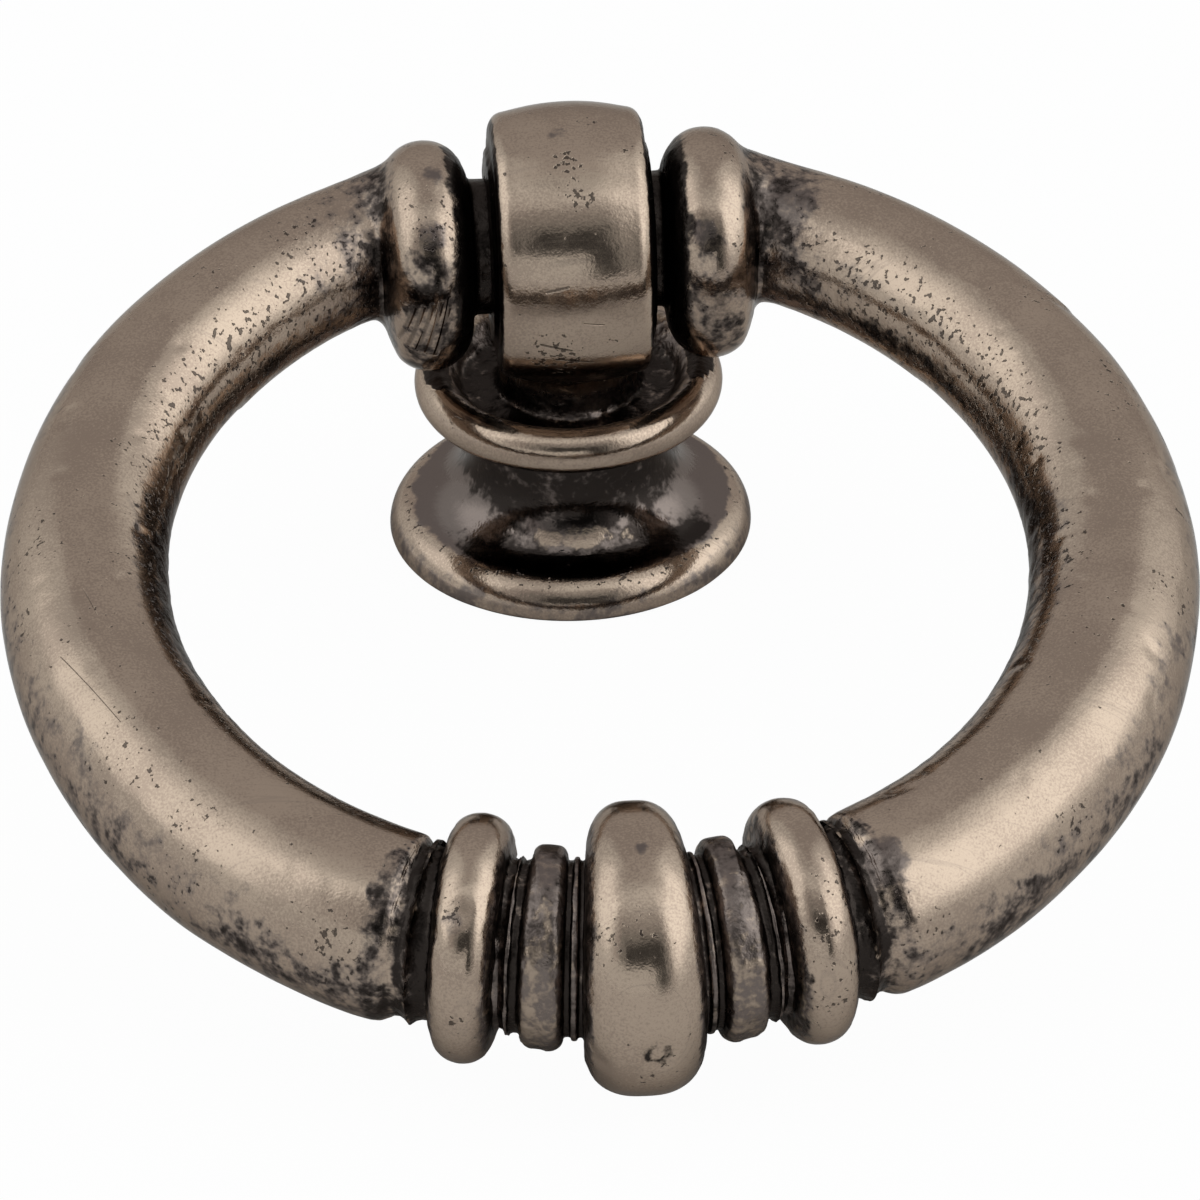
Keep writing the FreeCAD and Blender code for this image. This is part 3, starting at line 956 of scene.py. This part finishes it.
@dataclass(frozen=True)
class AntiqueMetal:
    """Cast metal with a satin, rubbed surface, a smooth dark film and a black patina in its recesses; the
    film and patina colours also paint shade and dark reflections.

    The four patterns are noise, from the largest to the finest, and their scales are in waves per metre.
    """

    name: str
    scratches: tuple[Scratch, ...]
    rubbed: Triple = (0.47, 0.363, 0.284)
    shaded: Triple = (0.365, 0.277, 0.219)
    film_and_shade: Triple = (0.165, 0.134, 0.124)
    crust_and_shade: Triple = (0.034, 0.027, 0.024)
    edge: Triple = (0.64, 0.61, 0.59)
    cloud_scale: float = 230.0
    speck_scale: float = 1300.0
    dust_scale: float = 3600.0
    sand_scale: float = 9000.0
    smoothest: float = 0.165
    bump_strength: float = 0.6
    bump_depth: float = 0.00022

    def material(self) -> bpy.types.Material:
        """Builds the metal's node tree.

        Returns:
            The finished material.
        """
        made = bpy.data.materials.new(self.name)
        made.use_nodes = True
        nodes = Nodes(made.node_tree)
        shader = made.node_tree.nodes["Principled BSDF"]
        shader.inputs["Metallic"].default_value = 1.0
        shader.inputs["Specular Tint"].default_value = (*self.edge, 1.0)
        coordinates = nodes.add("TexCoord").outputs["Object"]
        film_and_shade, crust_and_shade, pits, grain, glint = (nodes.attribute(name) for name in SHADER_FIELDS)
        cloud = nodes.noise(coordinates, self.cloud_scale, 5.0)
        speck = nodes.noise(coordinates, self.speck_scale, 5.0)
        dust = nodes.noise(coordinates, self.dust_scale, 2.0)
        sand = nodes.noise(coordinates, self.sand_scale, 1.0)
        jitter = nodes.sway(dust, 0.6, nodes.sway(speck, 1.1, nodes.sway(cloud, 0.8, 0.0)))
        # the film and crust covers lay stains and patina, and also painted shade
        film_and_shade_cover = self.cover(nodes, film_and_shade, jitter, 0.30, 0.75)
        crust_and_shade_cover = self.cover(nodes, crust_and_shade, jitter, 0.34, 0.74)
        shining = self.cover(nodes, glint, jitter, 0.44, 0.74)
        pitted = nodes.sway(speck, 0.3, nodes.math("MULTIPLY_ADD", pits, 0.28, dust))
        pitted = nodes.ramp(pitted, 0.76, 0.82)
        scraped = self.scraped(nodes, coordinates)
        hairs = self.hairs(nodes, coordinates, cloud)
        dark = nodes.math("MAXIMUM", crust_and_shade_cover, nodes.math("MULTIPLY", pitted, 0.8))
        dark = nodes.math("MAXIMUM", dark, nodes.math("MULTIPLY", scraped, 0.5))
        colour = nodes.mix(nodes.ramp(nodes.sway(sand, 0.9, cloud), 0.30, 0.66), self.shaded, self.rubbed)
        colour = nodes.mix(nodes.math("MULTIPLY", hairs, 0.15), colour, self.film_and_shade)
        colour = nodes.mix(nodes.math("MULTIPLY", film_and_shade_cover, 0.92), colour, self.film_and_shade)
        colour = nodes.mix(dark, colour, self.crust_and_shade)
        # glint lays the rubbed colour: rubbed rib tops, and a painted highlight on the flare's front
        colour = nodes.mix(nodes.math("MULTIPLY", shining, 0.8), colour, self.rubbed)
        nodes.feed(shader.inputs["Base Color"], colour)
        rough = nodes.math("MULTIPLY_ADD", grain, 0.18, self.smoothest)
        rough = nodes.sway(speck, 0.18, rough)
        for layer, amount in ((hairs, 0.07), (film_and_shade_cover, -0.05)):
            rough = nodes.math("MULTIPLY_ADD", layer, amount, rough)
        nodes.feed(shader.inputs["Roughness"], rough)
        height = nodes.math("MULTIPLY", speck, nodes.math("MULTIPLY_ADD", grain, 0.9, 0.10))
        for layer, amount in ((dust, 0.05), (sand, 0.03), (pitted, -0.22), (scraped, -0.6)):
            height = nodes.math("MULTIPLY_ADD", layer, amount, height)
        bump = nodes.add("Bump")
        bump.inputs["Strength"].default_value = self.bump_strength
        bump.inputs["Distance"].default_value = self.bump_depth
        nodes.feed(bump.inputs["Height"], height)
        nodes.feed(shader.inputs["Normal"], bump.outputs["Normal"])
        return made

    @staticmethod
    def cover(nodes: Nodes, share: Socket, jitter: Socket, low: float, high: float) -> Socket:
        """Ragged cover of a layer whose share is known at each vertex, with none where the share is 0."""
        gate = nodes.ramp(share, 0.0, 0.25)
        return nodes.ramp(nodes.math("MULTIPLY_ADD", jitter, gate, share), low, high)

    def scraped(self, nodes: Nodes, coordinates: Socket) -> Socket:
        """How deep each point lies in one of the scratches."""
        deepest = 0.0
        for scratch in self.scratches:
            flatten = Vector(scratch.flatten)
            start = Vector(scratch.start) * flatten * MM
            way = Vector(scratch.end) * flatten * MM - start
            off = nodes.vector_math("SUBTRACT", nodes.vector_math("MULTIPLY", coordinates, flatten), start)
            share = nodes.math("DIVIDE", nodes.vector_math("DOT_PRODUCT", off, way), way.length_squared)
            share.node.use_clamp = True
            away = nodes.vector_math("DISTANCE", off, nodes.vector_math("SCALE", way, share))
            depth = nodes.ramp(away, scratch.width * MM, 0.3 * scratch.width * MM)
            deepest = nodes.math("MAXIMUM", depth, deepest)
        return deepest

    @staticmethod
    def hairs(nodes: Nodes, coordinates: Socket, cloud: Socket) -> Socket:
        """Hairline scratches in two directions, in some places only."""
        found = 0.0
        for turn, gap in (((0.0, 0.3, 0.5), 0.010), ((0.2, -0.2, -0.9), 0.008)):
            mapping = nodes.add("Mapping")
            mapping.inputs["Rotation"].default_value = turn
            mapping.inputs["Scale"].default_value = (25.0, 1100.0, 40.0)
            nodes.feed(mapping.inputs["Vector"], coordinates)
            ridges = nodes.noise(mapping.outputs[0], 1.0, 1.0)
            level = nodes.math("ABSOLUTE", nodes.math("SUBTRACT", ridges, 0.5))
            found = nodes.math("MAXIMUM", nodes.ramp(level, gap, 0.2 * gap), found)
        return nodes.math("MULTIPLY", found, nodes.ramp(cloud, 0.46, 0.60))


POST_SCRATCHES = (
    Scratch((-1.28, -6.38, 16.86), (-0.32, -6.41, 17.09), 0.09),
    Scratch((-1.6, -6.3, 14.0), (-0.2, -6.2, 13.6), 0.06),
    Scratch((-0.9, -6.0, 13.0), (0.8, -5.9, 12.7), 0.06),
    Scratch((0.4, -6.45, 15.2), (1.3, -6.45, 15.05), 0.04),
)


def ring_scratches() -> tuple[Scratch, ...]:
    """Scratches of the ring: a raked patch below the left ear, and long single ones on the tube."""
    raked = [
        Scratch((-5.7 - 0.42 * i, -5.6, 16.3 - 0.1 * i), (-6.4 - 0.42 * i, -5.2, 13.1 + 0.15 * i), 0.15)
        for i in range(5)
    ]
    from_above = (1.0, 1.0, 0.15)
    single = [
        Scratch((-24.39, -28.56, 13.11), (-21.92, -33.18, 12.62), 0.02, from_above),
        Scratch((-23.6, -24.0, 14.1), (-22.4, -27.6, 14.2), 0.03, from_above),
        Scratch((23.3, -20.3, 15.6), (22.2, -23.8, 15.0), 0.03, from_above),
        Scratch((13.9, -44.3, 9.7), (16.2, -42.9, 10.3), 0.035, from_above),
    ]
    return tuple(raked + single)


@dataclass(frozen=True)
class RoomPatch:
    """A soft-edged part of the room, seen from the object.

    Its sides are tangents of the angle from its own azimuth, and its bottom and top are sines of elevation.
    """

    azimuth: float
    left: float
    right: float
    bottom: float
    top: float
    level: float
    side_soft: float
    edge_soft: float


def direction(azimuth: float, elevation: float) -> Vector:
    """Unit vector towards a place, from degrees to the right of the viewer's side and above the floor."""
    a, e = math.radians(azimuth), math.radians(elevation)
    return Vector((math.sin(a) * math.cos(e), -math.cos(a) * math.cos(e), math.sin(e)))


@dataclass
class Studio:
    """Plain floor, the room with its soft lights, one lamp above and the camera."""

    azimuth: float = -3.635
    elevation: float = 33.59
    distance: float = 500.0
    focal_pixels: float = 11026.4
    roll: float = -0.80
    target: Triple = (0.0, -20.0, 5.0)
    shift_right: float = 0.02
    shift_up: float = 3.29
    sensor_width: float = 36.0
    floor_size: float = 6.0
    floor_gap: float = 0.02
    floor_glow: float = 0.97
    room_level: float = 0.52
    lamp_tint: Triple = (0.96, 1.01, 1.01)
    lamp_elevation: float = 72.0
    lamp_size: Point = (900.0, 160.0)
    lamp_distance: float = 550.0
    lamp_radiance: float = 0.2
    patches: tuple[RoomPatch, ...] = (
        RoomPatch(0.0, -9.0, 9.0, 0.86, 1.4, 0.68, 0.1, 0.10),
        RoomPatch(-92.0, -1.5, 0.85, -0.3, 0.94, 0.78, 0.35, 0.10),
        RoomPatch(82.0, -0.95, 1.4, -0.3, 0.94, 0.92, 0.35, 0.10),
        RoomPatch(-92.0, -0.66, 0.60, 0.32, 0.86, 1.45, 0.30, 0.14),
        RoomPatch(80.0, -0.74, 0.72, 0.22, 0.84, 1.78, 0.30, 0.16),
        RoomPatch(0.0, -0.75, 0.62, 0.0, 0.78, 0.33, 0.12, 0.12),
        RoomPatch(0.0, -1.6, 0.20, -0.5, 0.36, 0.76, 0.03, 0.03),
        RoomPatch(0.0, -0.40, 0.32, 0.36, 0.65, 0.07, 0.03, 0.03),
        RoomPatch(0.0, 0.17, 0.42, 0.01, 0.65, 0.07, 0.03, 0.03),
    )

    def build(self) -> None:
        """Sets up the floor, the world, the lamp and the camera."""
        self.floor()
        self.world()
        self.softbox()
        self.camera()
        bpy.context.scene.view_settings.view_transform = "Standard"

    def camera(self) -> None:
        """Puts the camera where the photograph was taken from."""
        roll = math.radians(self.roll)
        back = direction(self.azimuth, self.elevation)
        level = direction(self.azimuth + 90.0, 0.0)
        upright = back.cross(level)
        right = math.cos(roll) * level + math.sin(roll) * upright
        up = -math.sin(roll) * level + math.cos(roll) * upright
        eye = Vector(self.target) + self.shift_right * right + self.shift_up * up + self.distance * back
        lens = bpy.data.cameras.new("camera")
        lens.sensor_width = self.sensor_width
        lens.lens = self.focal_pixels * self.sensor_width / PICTURE_SIDE
        lens.clip_start, lens.clip_end = 0.01, 20.0
        camera = bpy.data.objects.new("camera", lens)
        camera.matrix_world = Matrix.Translation(eye * MM) @ Matrix((right, up, back)).transposed().to_4x4()
        bpy.context.scene.collection.objects.link(camera)
        bpy.context.scene.camera = camera

    def floor(self) -> None:
        """Lays the pale floor that the post and the ring stand on."""
        deselect_all()
        bpy.ops.mesh.primitive_plane_add(size=self.floor_size, location=(0, 0, -self.floor_gap * MM))
        floor = bpy.context.object
        floor.name = "floor"
        made = bpy.data.materials.new("floor_white")
        made.use_nodes = True
        nodes = Nodes(made.node_tree)
        shader = made.node_tree.nodes["Principled BSDF"]
        shader.inputs["Base Color"].default_value = (0.78, 0.78, 0.78, 1)
        shader.inputs["Roughness"].default_value = 0.8
        shader.inputs["Specular IOR Level"].default_value = 0.2
        seen = nodes.add("LightPath").outputs["Is Camera Ray"]
        share = nodes.math("MULTIPLY", seen, self.floor_glow)
        nodes.show("Material Output", share, shader, nodes.add("Emission"))
        floor.data.materials.append(made)

    def world(self) -> None:
        """Sets up the room round the object, which shows white behind the floor.

        It is bright to both sides and above. Round the camera it is darker, with a pale card low in front
        and the dark outlines of the camera's stand.
        """
        world = bpy.data.worlds.new("room")
        bpy.context.scene.world = world
        world.use_nodes = True
        nodes = Nodes(world.node_tree)
        room = world.node_tree.nodes["Background"]
        room.inputs["Strength"].default_value = 1.0
        way = nodes.add("TexCoord").outputs["Generated"]
        parts = nodes.add("SeparateXYZ")
        nodes.feed(parts.inputs[0], way)
        rise = parts.outputs["Z"]
        light = (self.room_level,) * 3
        for patch in self.patches:
            ahead = nodes.vector_math("DOT_PRODUCT", way, direction(patch.azimuth, 0.0))
            aside = nodes.vector_math("DOT_PRODUCT", way, direction(patch.azimuth + 90.0, 0.0))
            side = nodes.math("DIVIDE", aside, nodes.math("MAXIMUM", ahead, 0.05))
            share = nodes.ramp(ahead, 0.0, 0.1)
            for value, limit, soft in (
                (side, patch.left, patch.side_soft),
                (side, patch.right, -patch.side_soft),
                (rise, patch.bottom, patch.edge_soft),
                (rise, patch.top, -patch.edge_soft),
            ):
                share = nodes.math("MULTIPLY", share, nodes.ramp(value, limit - soft, limit + soft))
            light = nodes.mix(share, light, tuple(patch.level * part for part in self.lamp_tint))
        nodes.feed(room.inputs["Color"], light)
        seen = nodes.add("LightPath").outputs["Is Camera Ray"]
        nodes.show("World Output", seen, room, nodes.add("Background"))

    def softbox(self) -> None:
        """Hangs the large soft lamp that faces the object from above."""
        back = direction(0.0, self.lamp_elevation)
        lamp = bpy.data.lights.new("top_softbox", "AREA")
        lamp.shape = "RECTANGLE"
        lamp.size, lamp.size_y = (side * MM for side in self.lamp_size)
        lamp.energy = self.lamp_radiance * math.pi * lamp.size * lamp.size_y
        lamp.color = self.lamp_tint
        holder = bpy.data.objects.new("top_softbox", lamp)
        holder.location = (Vector((0.0, -20.0, 8.0)) + back * self.lamp_distance) * MM
        holder.rotation_mode = "QUATERNION"
        holder.rotation_quaternion = back.to_track_quat("Z", "Y")
        bpy.context.scene.collection.objects.link(holder)


def main() -> None:
    """Builds the pieces in order, dresses them and sets up the studio."""
    logging.basicConfig(level=logging.INFO, format="%(name)s %(message)s")
    for name, sub_assembly, scratches in (
        ("ring", Ring(), ring_scratches()),
        ("post", Post(), POST_SCRATCHES),
    ):
        piece = sub_assembly.build()
        make_active(piece)
        bpy.ops.object.shade_smooth_by_angle(angle=math.radians(SMOOTH_ANGLE))
        piece.data.materials.append(AntiqueMetal(f"{name}_metal", scratches).material())
        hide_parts(name)
        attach(piece, name)
    Studio().build()


if __name__ == "__main__":
    main()
